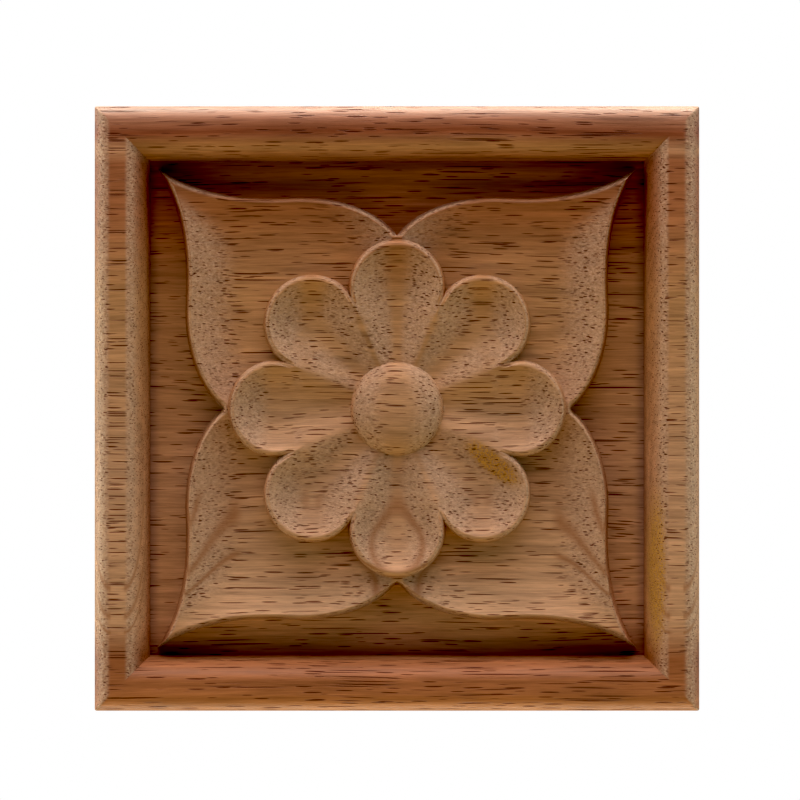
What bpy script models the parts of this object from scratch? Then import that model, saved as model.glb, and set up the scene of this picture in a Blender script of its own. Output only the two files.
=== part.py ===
"""Square onlay of carved wood: a moulded band round a sunken field that holds
an eight-petalled flower with a domed button and one broad leaf to each corner.

The onlay is carved from one board, so it is one solid. Its flat back lies in the
plane Y = 0 with the origin at its middle, its face looks towards -Y and +Z is up.
"""
import math

import bmesh
import bpy
from mathutils import Vector
from mathutils.geometry import interpolate_bezier

for item in list(bpy.data.objects):
    bpy.data.objects.remove(item, do_unlink=True)

# Board
SIDE = 0.100
THICKNESS = 0.015

# Moulded band, from its outer edge inwards
OUTER_ROUND = 0.0029
CREST_WIDTH = 0.0021
INNER_ROUND = 0.0039

# Depth of the sunken field below the crest of the band
CARVED_DEPTH = 0.0075

# Carved walls lean outwards from their rounded rim to their foot
WALL_LEAN = 0.0006
RIM_ROUND = 0.0003

# How far the circle of each petal's lobe laps over the line between two petals
LOBE_LAP = 0.0002

# Narrowest strip of leaf that is left round the ends of the petals
LEAF_NECK = 0.0003

# The carving keeps its proportions. Sizes across the face are shares of half
# the field's width, and heights over the field are shares of its depth.
BUTTON_RADIUS = 0.188
BUTTON_FOOT = 0.60
BUTTON_FULLNESS = 2.4
PETAL_REACH = 0.674
PETAL_RIM = 0.867
PETAL_DISH = 0.597
PETAL_RIDGE_AT_BUTTON = 0.721
PETAL_DISH_AT_BUTTON = 0.619
LEAF_RIM = 0.667
LEAF_HOLLOW = 0.413
LEAF_COVE = 0.22
LEAF_SHOULDER_HANDLE = (0.754, 0.039)
LEAF_FLANK_HANDLE = (0.850, 0.170)
LEAF_FLANK = (0.850, 0.401)
LEAF_WAIST_HANDLE = (0.839, 0.596)
LEAF_TIP_HANDLE = (0.849, 0.779)
LEAF_TIP = 0.940

# Fineness of the mesh
PETALS = 8
RAYS_PER_HALF_PETAL = 8
BUTTON_RINGS = 7
PETAL_RINGS = 10
LEAF_RINGS = 6
INNER_ROUND_RINGS = 5
OUTER_ROUND_RINGS = 4
OUTLINE_POINTS = 40

WOOD_COLOUR = (0.262, 0.114, 0.048, 1.0)
WOOD_ROUGHNESS = 0.55

HALF_SIDE = SIDE / 2
CREST_OUTER = HALF_SIDE - OUTER_ROUND
CREST_INNER = CREST_OUTER - CREST_WIDTH
FIELD = CREST_INNER - INNER_ROUND
GROUND = THICKNESS - CARVED_DEPTH

HALF_PETAL = math.pi / PETALS
FLOWER = PETAL_REACH * FIELD
BUTTON = BUTTON_RADIUS * FIELD
LOBE_CENTRE = (FLOWER - LOBE_LAP) / (1 + math.sin(HALF_PETAL))
LOBE_RADIUS = FLOWER - LOBE_CENTRE
CORNER = math.pi / 4


def relief(share):
    """Height above the back of a share of the carved depth."""
    return GROUND + share * CARVED_DEPTH


def blend(start, end, share):
    return start + (end - start) * share


def lobe_edge(turn, radius):
    """Distance from the middle to a lobe of that radius, on a ray turned from the petal's axis."""
    across = LOBE_CENTRE * math.sin(turn)
    return LOBE_CENTRE * math.cos(turn) + math.sqrt(max(radius * radius - across * across, 0.0))


def petal_height(distance, turn):
    """Spoon-shaped petal: a dish with a raised rim, and a valley down to the button."""
    along = distance * math.cos(turn)
    across = distance * math.sin(turn)
    inner_radius = LOBE_RADIUS - RIM_ROUND
    if along > LOBE_CENTRE:
        spread = math.hypot(along - LOBE_CENTRE, across) / inner_radius
    else:
        spread = across / min(inner_radius, along * math.tan(HALF_PETAL))
    spread = min(spread, 1.0)
    way = min(max((distance - BUTTON) / (LOBE_CENTRE - BUTTON), 0.0), 1.0)
    way = way * (2 - way)
    rim = blend(relief(PETAL_RIDGE_AT_BUTTON), relief(PETAL_RIM), way)
    dish = blend(relief(PETAL_DISH_AT_BUTTON), relief(PETAL_DISH), way)
    return blend(dish, rim, spread * spread)


def leaf_outline():
    """Side of a corner leaf from the end of a petal to the leaf's tip, half of its outline."""
    neck = FLOWER + WALL_LEAN / 2 + LEAF_NECK
    knots = [(neck, 0.0)]
    for x, y in (LEAF_SHOULDER_HANDLE, LEAF_FLANK_HANDLE, LEAF_FLANK,
                 LEAF_WAIST_HANDLE, LEAF_TIP_HANDLE, (LEAF_TIP, LEAF_TIP)):
        knots.append((x * FIELD, y * FIELD))
    knots = [Vector(knot) for knot in knots]
    shoulder = interpolate_bezier(*knots[0:4], OUTLINE_POINTS)
    flank = interpolate_bezier(*knots[3:7], OUTLINE_POINTS)
    return shoulder + flank[1:]


OUTLINE = leaf_outline()


def leaf_edge(turn):
    """Distance from the middle to a leaf's side, and how squarely the ray meets it."""
    for a, b in zip(OUTLINE, OUTLINE[1:]):
        turn_a = math.atan2(a.y, a.x)
        turn_b = math.atan2(b.y, b.x)
        if turn <= turn_b or b is OUTLINE[-1]:
            share = (turn - turn_a) / (turn_b - turn_a)
            run = (b - a).normalized()
            squareness = abs(math.cos(turn) * run.y - math.sin(turn) * run.x)
            return blend(a.length, b.length, share), squareness


def distance_to_outline(point):
    nearest = FIELD
    for a, b in zip(OUTLINE, OUTLINE[1:]):
        run = b - a
        share = min(max((point - a).dot(run) / run.length_squared, 0.0), 1.0)
        nearest = min(nearest, (point - a - run * share).length)
    return nearest


def leaf_height(distance, turn):
    """Hollow leaf that coves up to both of its sides."""
    x = distance * math.cos(turn)
    y = distance * math.sin(turn)
    flatness = 1.0
    for point in (Vector((x, y)), Vector((y, x))):
        away = min(distance_to_outline(point) / (LEAF_COVE * FIELD), 1.0)
        flatness *= 1 - (1 - away) ** 2
    return blend(relief(LEAF_RIM), relief(LEAF_HOLLOW), flatness)


def cross_section(turn_from_petal, turn_from_side):
    """Points of one cut through the onlay, from the button to the back, as (distance, height)."""
    points = []

    # Domed button, as high as the crest of the band
    button_foot = petal_height(BUTTON, turn_from_petal)
    for ring in range(1, BUTTON_RINGS + 1):
        share = math.sin(math.pi / 2 * ring / BUTTON_RINGS)
        bulge = math.sqrt(max(1 - share ** BUTTON_FULLNESS, 0.0))
        height = blend(relief(BUTTON_FOOT), THICKNESS, bulge)
        points.append((BUTTON * share, max(height, button_foot)))

    # Petal, up to its rim
    petal_rim = lobe_edge(turn_from_petal, LOBE_RADIUS - WALL_LEAN / 2 - RIM_ROUND)
    for ring in range(1, PETAL_RINGS + 1):
        distance = blend(BUTTON, petal_rim, ring / PETAL_RINGS)
        points.append((distance, petal_height(distance, turn_from_petal)))
    rim_height = points[-1][1]
    points.append((lobe_edge(turn_from_petal, LOBE_RADIUS - WALL_LEAN / 2), rim_height - RIM_ROUND / 3))
    points.append((lobe_edge(turn_from_petal, LOBE_RADIUS - WALL_LEAN / 4), rim_height - RIM_ROUND))

    # Leaf, from the petal's foot up to its own rim
    leaf_side, squareness = leaf_edge(turn_from_side)
    leaf_start = lobe_edge(turn_from_petal, LOBE_RADIUS + WALL_LEAN / 2)
    leaf_rim = max(leaf_side - (WALL_LEAN / 2 + RIM_ROUND) / squareness, leaf_start + LEAF_NECK)
    leaf_foot = max(leaf_side + WALL_LEAN / 2 / squareness, leaf_rim + WALL_LEAN / 2)
    for ring in range(LEAF_RINGS + 1):
        share = math.sin(math.pi / 2 * ring / LEAF_RINGS)
        distance = blend(leaf_start, leaf_rim, share)
        points.append((distance, leaf_height(distance, turn_from_side)))
    rim_height = points[-1][1]
    rounded = RIM_ROUND / (RIM_ROUND + WALL_LEAN)
    points.append((blend(leaf_rim, leaf_foot, rounded), rim_height - RIM_ROUND / 2))
    points.append((leaf_foot, GROUND))

    # Moulded band
    to_side = 1 / math.cos(turn_from_side)
    for ring in range(INNER_ROUND_RINGS + 1):
        angle = math.pi / 2 * ring / INNER_ROUND_RINGS
        across = CREST_INNER - INNER_ROUND * math.cos(angle)
        points.append((across * to_side, GROUND + CARVED_DEPTH * math.sin(angle)))
    for ring in range(OUTER_ROUND_RINGS + 1):
        angle = math.pi / 2 * ring / OUTER_ROUND_RINGS
        across = CREST_OUTER + OUTER_ROUND * math.sin(angle)
        points.append((across * to_side, THICKNESS - OUTER_ROUND * (1 - math.cos(angle))))

    # Square side, down to the back
    points.append((HALF_SIDE * to_side, 0.0))
    return points


def even_turns():
    """Turns of the rays over half a petal, evenly spaced along the arc of its lobe."""
    notch = lobe_edge(HALF_PETAL, LOBE_RADIUS)
    notch_arc = math.atan2(notch * math.sin(HALF_PETAL), notch * math.cos(HALF_PETAL) - LOBE_CENTRE)
    turns = []
    for ray in range(RAYS_PER_HALF_PETAL):
        arc = notch_arc * ray / RAYS_PER_HALF_PETAL
        turns.append(math.atan2(LOBE_RADIUS * math.sin(arc), LOBE_CENTRE + LOBE_RADIUS * math.cos(arc)))
    return turns


def turn_from_nearest(angle, step):
    """Angle to the nearest of the lines that stand a step apart round the middle."""
    return abs((angle + step / 2) % step - step / 2)


# One cross-section for each ray round the middle, and faces between neighbours
turns = even_turns()
half_petal_rays = [-HALF_PETAL] + [-turn for turn in reversed(turns[1:])] + turns
mesh = bmesh.new()
sections = []
for petal in range(PETALS):
    for turn in half_petal_rays:
        angle = 2 * HALF_PETAL * petal + turn
        section = []
        for distance, height in cross_section(abs(turn), turn_from_nearest(angle, 2 * CORNER)):
            section.append(mesh.verts.new((distance * math.cos(angle), -height, distance * math.sin(angle))))
        sections.append(section)
middle = mesh.verts.new((0.0, -THICKNESS, 0.0))
for section, following in zip(sections, sections[1:] + sections[:1]):
    mesh.faces.new((middle, section[0], following[0]))
    for ring in range(len(section) - 1):
        mesh.faces.new((section[ring], section[ring + 1], following[ring + 1], following[ring]))
mesh.faces.new([section[-1] for section in reversed(sections)])
bmesh.ops.recalc_face_normals(mesh, faces=mesh.faces)

onlay_mesh = bpy.data.meshes.new("onlay")
mesh.to_mesh(onlay_mesh)
mesh.free()
onlay_mesh.shade_smooth()
onlay_mesh.set_sharp_from_angle(angle=math.radians(32))

wood = bpy.data.materials.new("Carved wood")
wood.use_nodes = True
surface = wood.node_tree.nodes["Principled BSDF"]
surface.inputs["Base Color"].default_value = WOOD_COLOUR
surface.inputs["Roughness"].default_value = WOOD_ROUGHNESS
surface.inputs["Metallic"].default_value = 0.0
onlay_mesh.materials.append(wood)

collection = bpy.data.collections.new("Carved wood corner onlay")
bpy.context.scene.collection.children.link(collection)
onlay = bpy.data.objects.new("onlay", onlay_mesh)
collection.objects.link(onlay)
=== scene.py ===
import math

import bpy
import numpy as np
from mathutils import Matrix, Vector


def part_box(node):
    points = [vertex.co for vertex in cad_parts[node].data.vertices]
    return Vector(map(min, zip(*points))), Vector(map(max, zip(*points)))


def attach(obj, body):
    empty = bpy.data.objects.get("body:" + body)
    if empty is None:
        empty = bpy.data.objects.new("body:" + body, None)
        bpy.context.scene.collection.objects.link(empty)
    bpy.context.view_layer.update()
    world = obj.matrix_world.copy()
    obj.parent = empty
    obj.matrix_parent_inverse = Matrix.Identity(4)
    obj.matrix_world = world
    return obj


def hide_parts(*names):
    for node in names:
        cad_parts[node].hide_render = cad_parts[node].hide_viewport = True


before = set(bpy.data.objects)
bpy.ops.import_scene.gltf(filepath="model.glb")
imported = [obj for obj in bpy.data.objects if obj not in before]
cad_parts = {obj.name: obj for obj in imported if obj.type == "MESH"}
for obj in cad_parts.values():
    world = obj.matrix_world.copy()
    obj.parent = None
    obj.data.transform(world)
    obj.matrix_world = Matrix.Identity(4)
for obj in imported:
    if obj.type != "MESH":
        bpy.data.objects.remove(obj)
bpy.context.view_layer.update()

MM = 0.001

# Camera
# A long lens looks square on at the carved face, as the photograph does, so the square
# board shows almost no perspective. Its scale is set at the board's outline, where the
# outer rounding meets the sides.
board_low, board_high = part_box("onlay")
BOARD_WIDTH = board_high.x - board_low.x
PHOTO_SIDE_PX = 604.5
PHOTO_WIDTH_PX = 800
PHOTO_CENTRE_PX = (397.0, 408.5)
SENSOR = 36.0
LENS = 200.0
MAIN_FIELD = BOARD_WIDTH * PHOTO_WIDTH_PX / PHOTO_SIDE_PX
camera_data = bpy.data.cameras.new("camera")
camera_data.lens = LENS
camera_data.sensor_width = SENSOR
camera_data.clip_start = 0.01
camera_data.clip_end = 20.0
camera_data.shift_x = (PHOTO_WIDTH_PX / 2 - PHOTO_CENTRE_PX[0]) / PHOTO_WIDTH_PX
camera_data.shift_y = (PHOTO_CENTRE_PX[1] - PHOTO_WIDTH_PX / 2) / PHOTO_WIDTH_PX
camera = bpy.data.objects.new("camera", camera_data)
bpy.context.scene.collection.objects.link(camera)
bpy.context.scene.camera = camera
OUTLINE_HEIGHT = 12.3 * MM
camera.location = (0.0, -OUTLINE_HEIGHT - MAIN_FIELD * LENS / SENSOR, 0.0)
camera.rotation_euler = (math.radians(90), 0.0, 0.0)


# Carved board
# One square block of pale tropical hardwood, machine-carved on its face: a moulded band,
# a sunken field, a leaf to each corner and an eight-petalled flower with a domed button.
# Its back is flat, to be glued on.
#
# The face is lofted in eight like sectors, each from a side's middle line to a corner's
# diagonal. Every carved edge is a line across the sector, and rings of points run
# between one edge and the next.
SECTOR_RAYS = 60
HALF_SIDE = BOARD_WIDTH / 2 / MM
FACE = (board_high.y - board_low.y) / MM
CARVED_DEPTH = 7.5
GROUND = FACE - CARVED_DEPTH
FIELD = HALF_SIDE - 8.9
CREST_INNER = HALF_SIDE - 5.0
CREST_OUTER = HALF_SIDE - 2.9
EASED_CORNER = 0.3
FOOT_STEP = 0.1

LOBE_CENTRE = 19.9
LOBE_RADIUS = 7.81
DISH_RADIUS = LOBE_RADIUS - 0.75
BUTTON_RADIUS = 7.73
BUTTON_EDGE = 12.0
PETAL_RIM = 14.0
PETAL_DISH = 11.98
RIDGE_AT_BUTTON = 12.65
DISH_AT_BUTTON = 12.2
LEAF_RIM = 12.5
LEAF_HOLLOW = 10.6
LEAF_COVE = 9.0
LEAF_RIM_WIDTH = 0.5
WALL_LEAN = 0.6
EIGHTH = math.pi / 4
HALF_PETAL = math.pi / 8
NOTCH = LOBE_CENTRE * math.cos(HALF_PETAL) + math.sqrt(
    LOBE_RADIUS ** 2 - (LOBE_CENTRE * math.sin(HALF_PETAL)) ** 2)
LEAF_SIDE = [(28.3, 0.0), (31.0, 1.6), (34.95, 7.0), (34.95, 16.5),
             (34.5, 24.5), (34.9, 32.0), (39.1, 39.1)]

share = np.linspace(0.0, 1.0, SECTOR_RAYS + 1)


def mix(start, end, amount):
    return start + (end - start) * amount


def polar(distance, angle):
    return np.stack([distance * np.cos(angle), distance * np.sin(angle)], axis=-1)


def turn_from_petal(angle):
    """Angle to the axis of the nearest petal."""
    return np.minimum(angle, EIGHTH - angle)


def lobe_edge(angle, radius):
    """Distance from the middle to the round end of a petal."""
    turn = turn_from_petal(angle)
    across = LOBE_CENTRE * np.sin(turn)
    return LOBE_CENTRE * np.cos(turn) + np.sqrt(np.maximum(radius ** 2 - across ** 2, 0.0))


def petal_rays():
    """Angles of the rays, evenly spaced along the round ends of the petals."""
    notch_arc = math.atan2(NOTCH * math.sin(HALF_PETAL),
                           NOTCH * math.cos(HALF_PETAL) - LOBE_CENTRE)
    arc = notch_arc * np.minimum(share, 1 - share) * 2
    turn = np.arctan2(LOBE_RADIUS * np.sin(arc), LOBE_CENTRE + LOBE_RADIUS * np.cos(arc))
    return np.where(share <= 0.5, turn, EIGHTH - turn)


def bezier(knots, t):
    a, b, c, d = (np.array(knot)[None, :] for knot in knots)
    t = t[:, None]
    return (1 - t) ** 3 * a + 3 * (1 - t) ** 2 * t * b + 3 * (1 - t) * t ** 2 * c + t ** 3 * d


def leaf_side(t):
    """Side of a leaf in two curves, from the end of a petal (0) to the leaf's tip (1)."""
    first = bezier(LEAF_SIDE[0:4], np.minimum(t * 2, 1.0))
    second = bezier(LEAF_SIDE[3:7], np.maximum(t * 2 - 1, 0.0))
    return np.where((t <= 0.5)[:, None], first, second)


def leaf_offset(amount):
    """The side of the leaf moved outwards, along rays from the middle."""
    near_by = 0.002
    run = leaf_side(np.minimum(share + near_by, 1.0)) - leaf_side(np.maximum(share - near_by, 0.0))
    run /= np.linalg.norm(run, axis=1, keepdims=True)
    length = np.linalg.norm(side_line, axis=1)
    squareness = np.abs(side_line[:, 0] * run[:, 1] - side_line[:, 1] * run[:, 0]) / length
    return side_line * (1 + amount / squareness / length)[:, None]


def petal_height(points):
    """Spoon-shaped petal: a dish with a raised rim, and a valley down to the button."""
    distance = np.hypot(points[..., 0], points[..., 1])
    turn = turn_from_petal(np.arctan2(points[..., 1], points[..., 0]))
    along = distance * np.cos(turn)
    across = distance * np.sin(turn)
    in_lobe = np.hypot(along - LOBE_CENTRE, across) / DISH_RADIUS
    in_neck = across / np.minimum(DISH_RADIUS, np.maximum(along, 1.0) * math.tan(HALF_PETAL))
    spread = np.minimum(np.where(along > LOBE_CENTRE, in_lobe, in_neck), 1.0)
    way = np.clip((distance - BUTTON_RADIUS) / (LOBE_CENTRE - BUTTON_RADIUS), 0.0, 1.0)
    rim = mix(RIDGE_AT_BUTTON, PETAL_RIM, way)
    dish = mix(DISH_AT_BUTTON, PETAL_DISH, way * (2 - way))
    # Between two petals the ridge is sharp at the notch and rounds over towards the button
    rounding_run = 4.0
    rounded = np.clip((NOTCH - distance) / rounding_run, 0.0, 1.0)
    return mix(dish, rim, mix(spread ** 2, spread ** 2 * (2 - spread ** 2), rounded))


def distance_to_line(points, line):
    """Shortest distance from each point to a line of many short runs."""
    nearest = np.full(points.shape[:-1], 1e9)
    for start, end in zip(line, line[1:]):
        run = end - start
        step = np.clip(((points - start) @ run) / (run @ run), 0.0, 1.0)
        away = np.linalg.norm(points - start - step[..., None] * run, axis=-1)
        nearest = np.minimum(nearest, away)
    return nearest


def leaf_height(points):
    """Hollow leaf that coves up to both of its sides."""
    flat = np.ones(points.shape[:-1])
    for line in (leaf_rim_line, leaf_rim_line[:, ::-1]):
        away = np.clip(distance_to_line(points, line) / LEAF_COVE, 0.0, 1.0)
        flat *= 1 - (1 - away) ** 2
    return mix(LEAF_RIM, LEAF_HOLLOW, flat)


def square(half, corner_round=0.0):
    """A sector of a square ring, with its points crowded towards the corner."""
    middle, crowding = 0.42, 1.8
    to_corner = 1 - (2 - 2 * np.maximum(share, 0.5)) ** crowding
    along = np.where(share <= 0.5, 2 * middle * share, middle + (1 - middle) * to_corner)
    x = np.full_like(along, half)
    y = half * along
    if corner_round:
        start = half - corner_round
        bend = np.clip((y - start) / corner_round, 0.0, 1.0) * EIGHTH
        x = np.where(y > start, start + corner_round * np.cos(bend), x)
        y = np.where(y > start, start + corner_round * np.sin(bend), y)
    return np.stack([x, y], axis=-1)


rings = []


def add_ring(points, height):
    height = np.broadcast_to(height, points.shape[:-1])
    rings.append(np.concatenate([points, height[:, None]], axis=1))


rays = petal_rays()
side_line = leaf_side(share)
side_line[-1] = side_line[-1].mean()
leaf_rim_line = leaf_offset(-WALL_LEAN / 2 - LEAF_RIM_WIDTH)
lobe_foot = polar(lobe_edge(rays, LOBE_RADIUS + WALL_LEAN / 2), rays)

# Button: a dome that is nearly flat on top and falls steeply at its edge
BUTTON_RINGS = 24
FULLNESS = 2.4
button_foot = petal_height(polar(BUTTON_RADIUS, rays))
for ring in range(1, BUTTON_RINGS + 1):
    part = math.sin(math.pi / 2 * ring / BUTTON_RINGS)
    dome = BUTTON_EDGE + (FACE - BUTTON_EDGE) * math.sqrt(max(1 - part ** FULLNESS, 0.0))
    add_ring(polar(BUTTON_RADIUS * part, rays), np.maximum(dome, button_foot))

# Petals, out to the inner edge of their rims
PETAL_RINGS = 58
rim_inner = lobe_edge(rays, DISH_RADIUS)
for ring in range(1, PETAL_RINGS + 1):
    points = polar(mix(BUTTON_RADIUS, rim_inner, ring / PETAL_RINGS), rays)
    add_ring(points, petal_height(points))

# Rims of the petals: a rounded edge, then the leaning wall down to the leaf
PETAL_EDGE = [(-0.62, 0.0), (-0.42, 0.04), (-0.27, 0.11),
              (-0.14, 0.23), (-0.04, 0.40), (0.04, 0.62)]
rim_height = rings[-1][:, 2]
leaf_level = leaf_height(lobe_foot)
for beyond, drop in PETAL_EDGE:
    add_ring(polar(lobe_edge(rays, LOBE_RADIUS + beyond), rays), rim_height - drop)
wall_top = rings[-1][:, 2]
for down in (0.33, 0.66, 0.9):
    radius = LOBE_RADIUS + mix(PETAL_EDGE[-1][0], WALL_LEAN / 2, down)
    add_ring(polar(lobe_edge(rays, radius), rays), mix(wall_top, leaf_level, down))

# Leaves, from the foot of the petals up to their own rims
LEAF_RINGS = 46
RING_CROWDING = 1.35
PETAL_GAP = 0.3
CUSP_SHARE = 0.1
rim_start = np.linalg.norm(leaf_rim_line, axis=1)
least = np.where(share < CUSP_SHARE, np.linalg.norm(lobe_foot, axis=1) + PETAL_GAP, 0.0)
leaf_rim_line = leaf_rim_line * (np.maximum(rim_start, least) / rim_start)[:, None]
for ring in range(LEAF_RINGS + 1):
    way = 1 - (1 - ring / LEAF_RINGS) ** RING_CROWDING
    points = mix(lobe_foot, leaf_rim_line, way)
    add_ring(points, leaf_height(points))

# Rims of the leaves: a rounded edge, then the leaning wall down to the ground
LEAF_EDGE = [(0.1, 0.02), (0.21, 0.07), (0.32, 0.17), (0.42, 0.32), (0.5, 0.54)]
WALL_START, WALL_END = LEAF_EDGE[-1][0], 0.93
rim_height = rings[-1][:, 2]
leaf_foot = leaf_offset(WALL_LEAN / 2)
for across, drop in LEAF_EDGE:
    add_ring(mix(leaf_rim_line, leaf_foot, across), rim_height - drop)
wall_top = rings[-1][:, 2]
for down in (0.3, 0.6, 0.85, 0.96, 1.0):
    across = mix(WALL_START, WALL_END, down)
    add_ring(mix(leaf_rim_line, leaf_foot, across), mix(wall_top, GROUND + FOOT_STEP, down))

# Sunken ground
GROUND_RINGS = 6
SEAM_WIDTH = 0.03
for ring in range(GROUND_RINGS):
    add_ring(mix(leaf_foot, square(FIELD - SEAM_WIDTH), ring / (GROUND_RINGS - 1)), GROUND)

# Moulded band: inner rounding, flat crest and outer rounding, then the square side
INNER_RINGS = 15
for ring in range(INNER_RINGS + 1):
    angle = math.pi / 2 * ring / INNER_RINGS
    across = CREST_INNER - (CREST_INNER - FIELD) * math.cos(angle)
    add_ring(square(across), mix(GROUND + FOOT_STEP, FACE, math.sin(angle)))
CREST_RINGS = 4
for ring in range(1, CREST_RINGS):
    part = ring / CREST_RINGS
    add_ring(square(mix(CREST_INNER, CREST_OUTER, part), EASED_CORNER * part), FACE)
OUTER_RINGS = 15
for ring in range(OUTER_RINGS + 1):
    angle = math.pi / 2 * ring / OUTER_RINGS
    across = CREST_OUTER + (HALF_SIDE - CREST_OUTER) * math.sin(angle)
    drop = (HALF_SIDE - CREST_OUTER) * (1 - math.cos(angle))
    add_ring(square(across, EASED_CORNER), FACE - drop)
# The back's edge is eased, and a second ring inside it keeps the back's shading flat
EASED_BACK = 0.25
for height in (9.0, 6.0, 3.0, EASED_BACK):
    add_ring(square(HALF_SIDE, EASED_CORNER), height)
for inset in (EASED_BACK, 3.0):
    add_ring(square(HALF_SIDE - inset, EASED_CORNER), 0.0)

# The eight sectors are turned and mirrored round the middle and laid on a grid's points
sector = np.stack(rings, axis=0)
turns = []
for quarter in range(4):
    angle = math.pi / 2 * quarter
    for ray in range(SECTOR_RAYS):
        turns.append((ray, 1, angle))
    for ray in range(SECTOR_RAYS, 0, -1):
        turns.append((ray, -1, angle + math.pi / 2))
turns.append(turns[0])
columns = []
for ray, hand, angle in turns:
    x, y, height = sector[:, ray, 0], sector[:, ray, 1] * hand, sector[:, ray, 2]
    columns.append(np.stack([x * math.cos(angle) - y * math.sin(angle), -height,
                             x * math.sin(angle) + y * math.cos(angle)], axis=-1))
lofted = np.stack(columns, axis=0) * MM

bpy.ops.object.select_all(action="DESELECT")
bpy.ops.mesh.primitive_grid_add(x_subdivisions=lofted.shape[1] - 1,
                                y_subdivisions=lofted.shape[0] - 1, size=1)
board = bpy.context.object
board.name = "carved_board"
board.data.name = "carved_board"
assert len(board.data.vertices) == lofted.shape[0] * lofted.shape[1]
board.data.vertices.foreach_set("co", lofted.astype(np.float32).ravel())
board.data.update()
bpy.ops.object.mode_set(mode="EDIT")
bpy.ops.mesh.select_all(action="SELECT")
bpy.ops.mesh.remove_doubles(threshold=1e-6)
bpy.ops.mesh.select_all(action="DESELECT")
bpy.ops.mesh.select_mode(type="VERT")
bpy.ops.mesh.select_non_manifold(extend=False)
bpy.ops.mesh.edge_face_add()
bpy.ops.mesh.select_all(action="SELECT")
bpy.ops.mesh.normals_make_consistent(inside=False)
bpy.ops.object.mode_set(mode="OBJECT")
bpy.ops.object.shade_smooth_by_angle(angle=math.radians(38))

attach(board, "root")
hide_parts("onlay")


class Shade:
    """A shader socket that Python's operators add Math nodes to."""

    def __init__(self, socket):
        self.socket = socket

    def node(self, kind, inputs, output=0, **settings):
        """Adds a node with its settings, then the values or links of its sockets."""
        tree = self.socket.id_data
        made = tree.nodes.new(kind)
        for name, setting in settings.items():
            if name == "stops":
                ramp = made.color_ramp
                while len(ramp.elements) < len(setting):
                    ramp.elements.new(1.0)
                for element, (position, colour) in zip(ramp.elements, setting):
                    element.position = position
                    element.color = (*colour, 1.0)
            else:
                setattr(made, name, setting)
        for name, value in inputs.items():
            if isinstance(value, Shade):
                tree.links.new(value.socket, made.inputs[name])
            elif made.inputs[name].type == "RGBA":
                made.inputs[name].default_value = (*value, 1.0)
            else:
                made.inputs[name].default_value = value
        return Shade(made.outputs[output])

    def math(self, operation, *values):
        return self.node("ShaderNodeMath", dict(enumerate(values)), operation=operation)

    def __add__(self, other):
        return self.math("ADD", self, other)

    def __radd__(self, other):
        return self.math("ADD", other, self)

    def __sub__(self, other):
        return self.math("SUBTRACT", self, other)

    def __rsub__(self, other):
        return self.math("SUBTRACT", other, self)

    def __mul__(self, other):
        return self.math("MULTIPLY", self, other)

    def __rmul__(self, other):
        return self.math("MULTIPLY", other, self)

    def __truediv__(self, other):
        return self.math("DIVIDE", self, other)

    def __pow__(self, other):
        return self.math("POWER", self, other)

    def __abs__(self):
        return self.math("ABSOLUTE", self)

    def most(self, other):
        return self.math("MAXIMUM", self, other)

    def step(self, low, high, start=0.0, end=1.0):
        """Eases from start to end while the value goes from low to high."""
        return self.node("ShaderNodeMapRange", {"Value": self, "From Min": low, "From Max": high,
                                                "To Min": start, "To Max": end},
                         interpolation_type="SMOOTHSTEP")

    def near(self, centre, reach):
        """One at the centre, falling to nothing at the reach."""
        return abs(self - centre).step(0.0, reach, 1.0, 0.0)

    def axis(self, which):
        return self.node("ShaderNodeSeparateXYZ", {"Vector": self}, output=which)

    def stretched(self, x, y, z):
        return self.node("ShaderNodeVectorMath", {0: self, 1: (x, y, z)},
                         operation="MULTIPLY")

    def moved(self, other):
        return self.node("ShaderNodeVectorMath", {0: self, 1: other}, operation="ADD")

    def noise(self, detail=2.0, roughness=0.5):
        """Cloudy noise round zero, one unit of this vector to a cloud."""
        cloudy = self.node("ShaderNodeTexNoise", {"Vector": self, "Scale": 1.0, "Detail": detail,
                                                  "Roughness": roughness})
        return cloudy - 0.5

    def spots(self, smallest, largest):
        """One spot of a random size in each cell, one unit of this vector to a cell."""
        away = self.node("ShaderNodeTexVoronoi", {"Vector": self, "Scale": 1.0})
        radius = Shade(away.socket.node.outputs["Color"]).axis(0)
        return (away / (smallest + (largest - smallest) * radius)).step(0.7, 1.05, 1.0, 0.0)

    def tinted(self, amount, colour, blend="MIX"):
        return self.node("ShaderNodeMix", {0: amount, 6: self, 7: colour}, output=2,
                         data_type="RGBA", blend_type=blend)

    def brightened(self, amount):
        return self.node("ShaderNodeVectorMath", {0: self, "Scale": amount}, operation="SCALE")


wood = bpy.data.materials.new("carved wood")
wood.use_nodes = True
shader = wood.node_tree.nodes["Principled BSDF"]
coordinates = wood.node_tree.nodes.new("ShaderNodeTexCoord")
place = Shade(coordinates.outputs["Object"]).stretched(1 / MM, 1 / MM, 1 / MM)
facing = Shade(coordinates.outputs["Normal"])
x = place.axis(0)
z = place.axis(2)

# The grain runs level across the whole block and wanders a little
wander = place.stretched(0.014, 0.05, 0.05).noise()
grain = place.moved(wander.node("ShaderNodeCombineXYZ", {"Y": wander * 1.6, "Z": wander * 4.0}))

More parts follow.
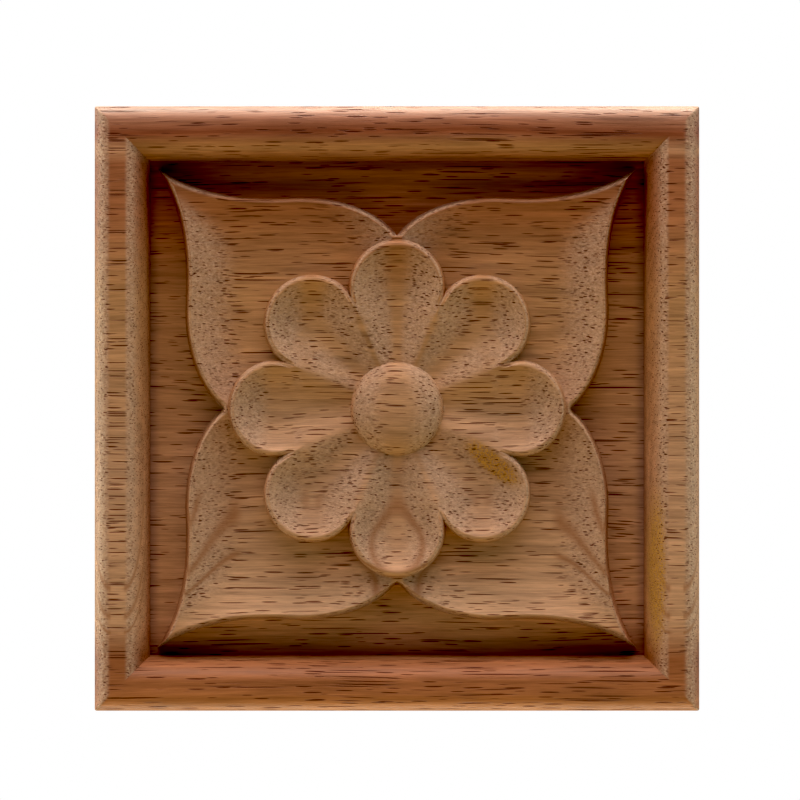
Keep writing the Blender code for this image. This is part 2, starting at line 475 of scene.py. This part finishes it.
# Growth rings, round a heart that ran along the grain far in front of the carved face. Three
# of them end in brown late wood that shows on the lower leaves and petals.
HEART_BEFORE_BACK = 71.0
HEART_BELOW_MIDDLE = 10.8
to_heart = grain.axis(1) + HEART_BEFORE_BACK
across_heart = grain.axis(2) + HEART_BELOW_MIDDLE
ring = (to_heart * to_heart + across_heart * across_heart) ** 0.5
ring_tone = ring.node("ShaderNodeTexNoise", {"W": ring, "Scale": 0.9, "Detail": 3.0,
                                             "Roughness": 0.6}, noise_dimensions="1D") - 0.5
late_wood = ring.near(59.1, 0.36).most(ring.near(60.7, 0.42)).most(ring.near(61.8, 0.24))
late_wood = late_wood * z.step(-16.0, -12.0, 1.0, 0.0)

# Fibres, fine and coarse, and broad clouds of tone
fine = grain.stretched(0.14, 3.4, 3.4).noise(4.0, 0.65)
streak = grain.stretched(0.04, 0.8, 0.8).noise(3.0, 0.6)
cloud = place.stretched(0.05, 0.09, 0.09).noise()

# Where a slope cuts across the grain, to the left and right, the wood is greyer and fuzzy,
# and the steep walls that face left and right are coloured browner. The late wood shows where a
# slope cuts it, and near the upright middle line.
slope = abs(facing.axis(0))
wall = slope.step(0.5, 0.95)
end_grain = slope.step(0.03, 0.28) * (1 - wall)
late_wood = late_wood * slope.step(0.0, 0.1).most(x.near(0.0, 6.0))
fuzz = place.stretched(1.6, 3.0, 3.0).noise(3.0, 0.7)

# Pores are thin tubes along the grain: dashes where they lie level, and dots on the slopes
pores = grain.stretched(1 / 6.5, 1 / 0.42, 1 / 0.42).spots(0.14, 0.31)
long_pores = grain.moved((3.3, 1.7, 0.9)).stretched(1 / 20.0, 1 / 0.34, 1 / 0.34).spots(0.08, 0.33)
dots = grain.stretched(1 / 1.5, 1 / 0.42, 1 / 0.42).spots(0.14, 0.36) * end_grain
pores = pores.most(long_pores * (1 - 0.7 * end_grain)).most(0.55 * dots) * (1 - 0.85 * late_wood)

# The cutter has torn the grain and left golden scars on two ridges
scar_x, scar_z = x - 15.5, z + 9.3
along_scar = scar_x * 0.77 - scar_z * 0.64
across_scar = scar_x * 0.64 + scar_z * 0.77
torn_petal = along_scar.near(0.0, 7.5) * across_scar.near(0.4, 2.3)
torn_band = x.near(42.9, 2.3) * z.near(-27.0, 20.0)
speckle = place.stretched(3.4, 4.5, 4.5).noise(2.0, 0.6)
carved_side = place.axis(1).step(-7.0, -6.0, 1.0, 0.0)
torn_ridge = torn_petal.step(0.0, 0.5).most(torn_band.step(0.0, 0.8)) * carved_side
torn = torn_ridge * (0.55 + 3.6 * speckle).step(0.0, 1.0)

# Painted shade darkens the corner where the band meets the sunken ground
painted_seam_shade = abs(x).most(abs(z)).near(FIELD, 1.9) * place.axis(1).near(-GROUND, 1.3)

# Heartwood reddens the top and bottom edges, and the sapwood between is pale. The dark stops where
# the sunken ground meets the band, at the top and the bottom, are painted shade.
level = z + 5.0 * wander
colour = level.node("ShaderNodeValToRGB", {"Fac": level * 0.01 + 0.5}, stops=[
    (0.00, (0.460, 0.205, 0.080)),
    (0.04, (0.345, 0.148, 0.064)),
    # painted shade in the sunken ground at the foot of the band, below
    (0.09, (0.285, 0.118, 0.050)),
    (0.15, (0.535, 0.335, 0.194)),
    (0.38, (0.455, 0.285, 0.170)),
    (0.68, (0.420, 0.244, 0.113)),
    (0.82, (0.345, 0.150, 0.067)),
    # painted shade in the sunken ground at the foot of the band, above
    (0.91, (0.310, 0.130, 0.060)),
    (0.93, (0.440, 0.250, 0.135)),
    (0.955, (0.245, 0.080, 0.035)),
    (1.00, (0.430, 0.250, 0.165))])
colour = colour.brightened(1.11 + 1.2 * fine + 1.0 * streak + 0.6 * ring_tone + 0.4 * cloud)
colour = colour.tinted(end_grain * (0.6 + 1.6 * fuzz), (0.51, 0.355, 0.245))
colour = colour.brightened(1 + 1.1 * fuzz * end_grain)
colour = colour.tinted(wall * 0.8, (0.80, 0.62, 0.52), "MULTIPLY")
colour = colour.tinted(late_wood * 0.7, (0.34, 0.16, 0.07))
colour = colour.tinted(torn_ridge * 0.45, (0.27, 0.13, 0.04))
colour = colour.tinted(torn, (0.60, 0.335, 0.065))
# painted shade in the corner at the foot of the band
colour = colour.tinted(painted_seam_shade * 0.8, (0.56, 0.55, 0.70), "MULTIPLY")
colour = colour.tinted(pores * 0.95, (0.25, 0.10, 0.06), "MULTIPLY")
wood.node_tree.links.new(colour.socket, shader.inputs["Base Color"])

roughness = 0.48 + 0.2 * end_grain + 0.2 * fine + 0.25 * pores
wood.node_tree.links.new(roughness.socket, shader.inputs["Roughness"])

depth = 0.05 * fine + fuzz * (0.02 + 0.15 * end_grain) + 0.3 * speckle * torn_ridge - 0.09 * pores
bump = depth.node("ShaderNodeBump", {"Height": depth, "Distance": MM, "Strength": 1.0})
wood.node_tree.links.new(bump.socket, shader.inputs["Normal"])
shader.inputs["IOR"].default_value = 1.45
shader.inputs["Specular IOR Level"].default_value = 0.32
board.data.materials.clear()
board.data.materials.append(wood)


# Light and floor
# Long soft boxes graze the face from above and below, weaker ones stand at the sides, and
# the camera's side is nearly dark, so the walls and hollows model strongly. Those named
# "sheet" stand behind the board and light its outer sides, as a pale sheet there would.


def soft_box(name, position, size, power, colour):
    data = bpy.data.lights.new(name, "AREA")
    data.shape = "RECTANGLE"
    data.size, data.size_y = size
    data.energy = power
    data.color = colour
    light = bpy.data.objects.new(name, data)
    light.visible_camera = False
    bpy.context.scene.collection.objects.link(light)
    light.location = position
    light.rotation_mode = "QUATERNION"
    light.rotation_quaternion = Vector(position).to_track_quat("Z", "Y")
    return light


REACH = 0.75
BOX_LENGTH = 0.9
BOX_WIDTH = 0.22


def lit_from(name, around, above_face, power, colour):
    """A long soft box on the side that `around` names, this far above the plane of the face."""
    turn, rise = math.radians(around), math.radians(above_face)
    level_reach = REACH * math.cos(rise)
    position = (level_reach * math.cos(turn), -REACH * math.sin(rise),
                level_reach * math.sin(turn))
    size = (BOX_LENGTH, BOX_WIDTH) if around in (90, 270) else (BOX_WIDTH, BOX_LENGTH)
    soft_box(name, position, size, power, colour)


FROM_BELOW = (1.0, 0.62, 0.20)
FROM_LEFT = (1.0, 1.0, 0.85)
FROM_RIGHT = (0.75, 1.0, 0.92)
OFF_THE_SHEET = (0.88, 1.0, 0.95)
lit_from("above, grazing", 90, 8, 4.6, (1.0, 0.68, 0.58))
lit_from("above, low", 90, 22, 2.4, (0.92, 0.98, 0.96))
lit_from("above, high", 90, 40, 1.4, (1.0, 0.60, 0.58))
lit_from("below, grazing", 270, 8, 1.9, FROM_BELOW)
lit_from("below, high", 270, 52, 1.2, FROM_BELOW)
lit_from("left, grazing", 180, 8, 0.7, FROM_LEFT)
lit_from("left, low", 180, 22, 1.0, FROM_LEFT)
lit_from("left, high", 180, 40, 0.3, FROM_LEFT)
lit_from("right, grazing", 0, 8, 1.5, FROM_RIGHT)
lit_from("right, low", 0, 22, 0.75, FROM_RIGHT)
lit_from("sheet, above", 90, -15, 11.0, OFF_THE_SHEET)
lit_from("sheet, below", 270, -15, 4.4, OFF_THE_SHEET)
lit_from("sheet, left", 180, -15, 7.0, OFF_THE_SHEET)
lit_from("sheet, right", 0, -15, 1.9, OFF_THE_SHEET)

# The floor lies well below the board. It has its own light and throws none on the board.
bpy.ops.mesh.primitive_plane_add(size=6.0, location=(0.0, 0.0, -0.9))
floor = bpy.context.object
floor.name = "floor"
floor.visible_diffuse = False
floor.visible_glossy = False
over_floor = soft_box("over the floor", (0.0, 0.0, -0.3), (4.0, 4.0), 70.0, (1.0, 1.0, 1.0))
over_floor.rotation_quaternion = (1.0, 0.0, 0.0, 0.0)
pale = bpy.data.materials.new("pale floor")
pale.use_nodes = True
pale_inputs = pale.node_tree.nodes["Principled BSDF"].inputs
pale_inputs["Base Color"].default_value = (0.85, 0.85, 0.84, 1.0)
pale_inputs["Roughness"].default_value = 0.8
floor.data.materials.append(pale)

# Pale surroundings, bright to the camera and nearly dark to the wood
world = bpy.data.worlds.new("studio")
bpy.context.scene.world = world
world.use_nodes = True
nodes = world.node_tree.nodes
links = world.node_tree.links
background = nodes["Background"]
background.inputs["Color"].default_value = (1.0, 1.0, 1.0, 1.0)
path = nodes.new("ShaderNodeLightPath")
strength = nodes.new("ShaderNodeMapRange")
strength.inputs["To Min"].default_value = 0.03
strength.inputs["To Max"].default_value = 1.0
links.new(path.outputs["Is Camera Ray"], strength.inputs["Value"])
links.new(strength.outputs["Result"], background.inputs["Strength"])

# A small black level deepens the shadows as much as the photograph's contrast does
view = bpy.context.scene.view_settings
view.view_transform = "Standard"
view.use_curve_mapping = True
view.curve_mapping.black_level = (0.017, 0.016, 0.013)
view.curve_mapping.update()
